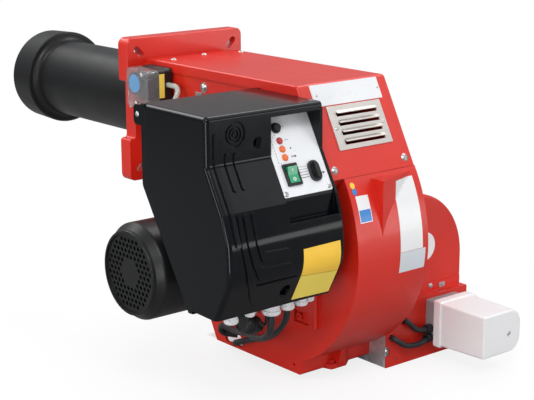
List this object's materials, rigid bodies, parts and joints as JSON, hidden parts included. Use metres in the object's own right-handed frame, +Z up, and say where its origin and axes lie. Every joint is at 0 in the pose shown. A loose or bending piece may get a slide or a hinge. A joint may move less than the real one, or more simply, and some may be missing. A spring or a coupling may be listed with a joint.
{
  "type": "forced draught gas burner",
  "caption": "Forced-draught gas burner for a boiler: flange and flame tube, fan and motor, air damper with servo, control box, gas inlet and sliding combustion head.",
  "frame": {"origin": "on the flame tube axis, at the face of the mounting flange that meets the boiler", "axes": "+Y along the flame tube into the boiler, +X to the right of a person facing the boiler, +Z up"},
  "size_m": [0.582, 0.979, 0.506],
  "materials": {
    "red_enamel": "gloss red enamel",
    "black_shell": "gloss black moulded plastic",
    "black_paint": "satin black paint",
    "black_plastic": "matt black plastic",
    "white_cover": "white moulded plastic",
    "white_plate": "white lacquered sheet",
    "zinc_screws": "zinc plated",
    "nickel_grille": "satin nickel",
    "galvanised": "galvanised sheet",
    "bare_steel": "machined steel",
    "cast_aluminium": "plain aluminium",
    "cable_rubber": "black cable sheath",
    "clear_plastic": "clear plastic",
    "lamp_lens": "coloured lens",
    "green_key": "green plastic",
    "blue_dial": "blue plastic",
    "ceramic": "glazed ceramic",
    "heat_steel": "heat-resisting steel",
    "copper": "enamelled copper on laminations",
    "grey_plastic": "grey plastic"
  },
  "bodies": {
    "burner": {"mounting_flange": "red_enamel", "blast_tube": "black_paint", "flame_head": "black_paint", "burner_housing": "red_enamel", "fan_scroll": "red_enamel", "scroll_side_plate": "red_enamel", "hood_cover": "red_enamel", "cover_screws": "zinc_screws", "name_plate": "white_plate", "vent_grille": "nickel_grille", "motor_flange": "red_enamel", "motor_bolts": "zinc_screws", "motor_body": "black_paint", "motor_stator": "copper", "motor_bearings": "bare_steel", "motor_terminal_box": "red_enamel", "motor_fan_cowl": "black_paint", "inlet_cone": "galvanised", "intake_casing": "red_enamel", "intake_base": "galvanised", "intake_panel": "red_enamel", "intake_plug": "white_cover", "damper_bearings": "black_plastic", "servo_base": "grey_plastic", "servo_cover": "white_cover", "servo_gear_motor": "grey_plastic", "servo_cables": "cable_rubber", "control_box_base": "black_shell", "control_box_cover": "black_shell", "equipment_screws": "zinc_screws", "cable_glands": "white_cover", "control_panel": "white_plate", "indicator_lamps": "lamp_lens", "control_bezels": "black_plastic", "burner_controller": "grey_plastic", "terminal_strip": "grey_plastic", "ignition_transformer": "black_plastic", "switch_adapter": "bare_steel", "pressure_switch_body": "black_plastic", "pressure_switch_cover": "clear_plastic", "pressure_hose": "clear_plastic", "gas_inlet_elbow": "cast_aluminium", "harness_cables": "cable_rubber", "cable_connector": "black_plastic"},
    "fan_rotor": {"motor_shaft": "bare_steel", "motor_rotor_core": "cast_aluminium", "cooling_fan": "black_plastic", "fan_impeller": "galvanised"},
    "damper": {"damper_flap": "galvanised", "damper_shaft": "bare_steel"},
    "burner_head": {"gas_distributor": "bare_steel", "head_adjuster": "bare_steel", "diffuser_disc": "heat_steel", "electrode_clamp": "bare_steel", "electrode_ceramics": "ceramic", "electrode_tips": "heat_steel"},
    "rocker": {"rocker_key": "green_key"},
    "selector": {"selector_lever": "black_plastic"},
    "reset": {"reset_button": "black_plastic"},
    "dial": {"pressure_dial": "blue_dial"}
  },
  "joints": [
    {"name": "fan_spin", "type": "hinge", "parent": "burner", "child": "fan_rotor", "pos_m": [0, -0.298, -0.18], "axis": [1, 0, 0], "continuous": true},
    {"name": "damper_turn", "type": "hinge", "parent": "burner", "child": "damper", "pos_m": [0.219, -0.3, -0.322], "axis": [0, 1, 0], "range_deg": [0, 90]},
    {"name": "head_slide", "type": "slide", "parent": "burner", "child": "burner_head", "axis": [0, 1, 0], "range_m": [-0.025, 0]},
    {"name": "rocker_tilt", "type": "hinge", "parent": "burner", "child": "rocker", "pos_m": [-0.1605, -0.49148, -0.0211], "axis": [1, 0, 0], "range_deg": [-18, 0]},
    {"name": "selector_turn", "type": "hinge", "parent": "burner", "child": "selector", "pos_m": [-0.1195, -0.49304, -0.02081], "axis": [0, -0.8725, 0.4886], "range_deg": [-45, 45]},
    {"name": "reset_press", "type": "slide", "parent": "burner", "child": "reset", "axis": [0, -0.8725, 0.4886], "range_m": [-0.0025, 0], "stiffness_N_per_m": 400},
    {"name": "dial_turn", "type": "hinge", "parent": "burner", "child": "dial", "pos_m": [-0.137, -0.072, 0.054], "axis": [1, 0, 0], "range_deg": [0, 270]}
  ]
}
